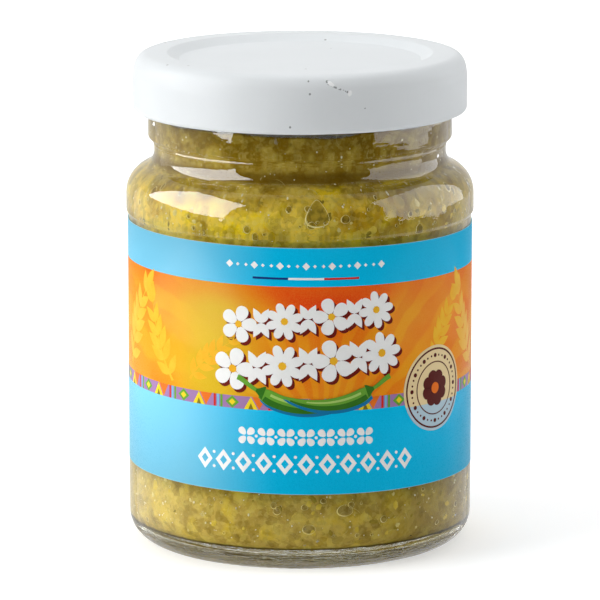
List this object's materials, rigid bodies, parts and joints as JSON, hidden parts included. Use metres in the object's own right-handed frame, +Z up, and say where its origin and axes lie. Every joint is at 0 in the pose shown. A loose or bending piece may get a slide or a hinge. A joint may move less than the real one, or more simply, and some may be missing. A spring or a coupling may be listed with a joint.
{
  "type": "chili paste jar",
  "caption": "Filled glass jar of green chili paste with a wraparound paper label, closed by a white lug twist-off cap.",
  "frame": {"origin": "centre of the jar's base, on the surface it stands on", "axes": "+Z up along the jar's axis, -Y out of the middle of the label, +X to the right as seen from the label"},
  "size_m": [0.0584, 0.0584, 0.0827],
  "materials": {
    "glass": "clear flint glass, smooth",
    "lacquered_tin": "white gloss lacquer on tinplate",
    "paste": "moist olive-green paste with pale seeds and fibres",
    "label_paper": "printed satin paper"
  },
  "bodies": {
    "root": {"glass_jar": "glass", "cap": "lacquered_tin", "paste": "paste", "label": "label_paper"}
  },
  "joints": []
}
